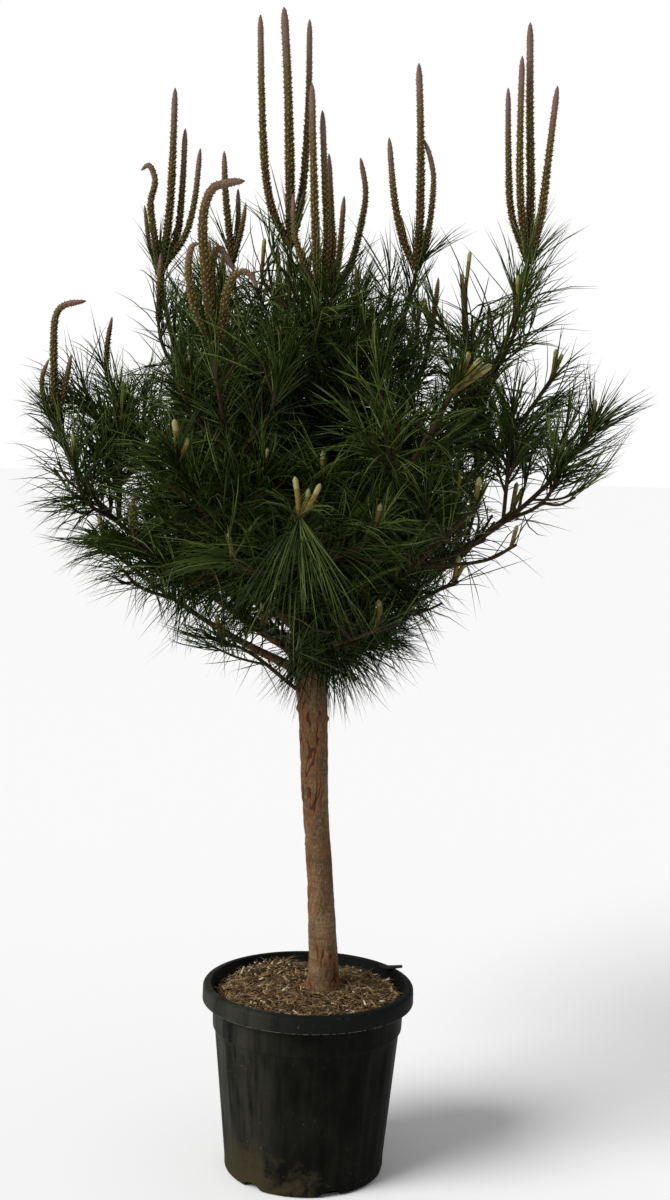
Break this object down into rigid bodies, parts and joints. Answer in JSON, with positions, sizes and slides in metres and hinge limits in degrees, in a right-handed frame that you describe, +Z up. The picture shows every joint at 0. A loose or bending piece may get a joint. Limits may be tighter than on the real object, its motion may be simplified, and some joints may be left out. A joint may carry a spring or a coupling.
{
  "type": "potted stone pine",
  "caption": "Young stone pine with a rounded crown of long needles and upright new candles on a clear, slightly leaning stem, in a black ribbed nursery pot.",
  "frame": {"origin": "centre of the pot's flat underside, at the level it stands on", "axes": "+Z up along the plant's height, +X to the right of the pictured front, -Y towards its camera"},
  "size_m": [1.2513, 1.0902, 2.2702],
  "materials": {
    "pot_plastic": "satin",
    "compost": "matte",
    "bark": "matte",
    "foliage": "satin"
  },
  "bodies": {
    "root": {"bough_high_back": "bark", "bough_high_left": "bark", "bough_high_left_front": "bark", "bough_high_right": "bark", "bough_high_right_back": "bark", "bough_high_right_front": "bark", "bough_low_back": "bark", "bough_low_back_left": "bark", "bough_low_back_right": "bark", "bough_low_front": "bark", "bough_low_left": "bark", "bough_low_left_front": "bark", "bough_low_right": "bark", "bough_low_right_front": "bark", "bough_mid_back": "bark", "bough_mid_back_right": "bark", "bough_mid_front": "bark", "bough_mid_front_right": "bark", "bough_mid_left": "bark", "bough_mid_left_back": "bark", "bough_mid_left_front": "bark", "bough_mid_right": "bark", "bough_mid_right_back": "bark", "compost": "compost", "foliage_high_back": "foliage", "foliage_high_left": "foliage", "foliage_high_left_front": "foliage", "foliage_high_right": "foliage", "foliage_high_right_back": "foliage", "foliage_high_right_front": "foliage", "foliage_leader": "foliage", "foliage_low_back": "foliage", "foliage_low_back_left": "foliage", "foliage_low_back_right": "foliage", "foliage_low_front": "foliage", "foliage_low_front_left": "foliage", "foliage_low_left": "foliage", "foliage_low_left_front": "foliage", "foliage_low_near_back": "foliage", "foliage_low_near_left": "foliage", "foliage_low_right": "foliage", "foliage_low_right_front": "foliage", "foliage_mid_back": "foliage", "foliage_mid_back_right": "foliage", "foliage_mid_front": "foliage", "foliage_mid_front_right": "foliage", "foliage_mid_left": "foliage", "foliage_mid_left_back": "foliage", "foliage_mid_left_front": "foliage", "foliage_mid_right": "foliage", "foliage_mid_right_back": "foliage", "foliage_top_back": "foliage", "foliage_top_front": "foliage", "foliage_top_left": "foliage", "foliage_top_right": "foliage", "pot": "pot_plastic", "trunk": "bark"}
  },
  "joints": []
}
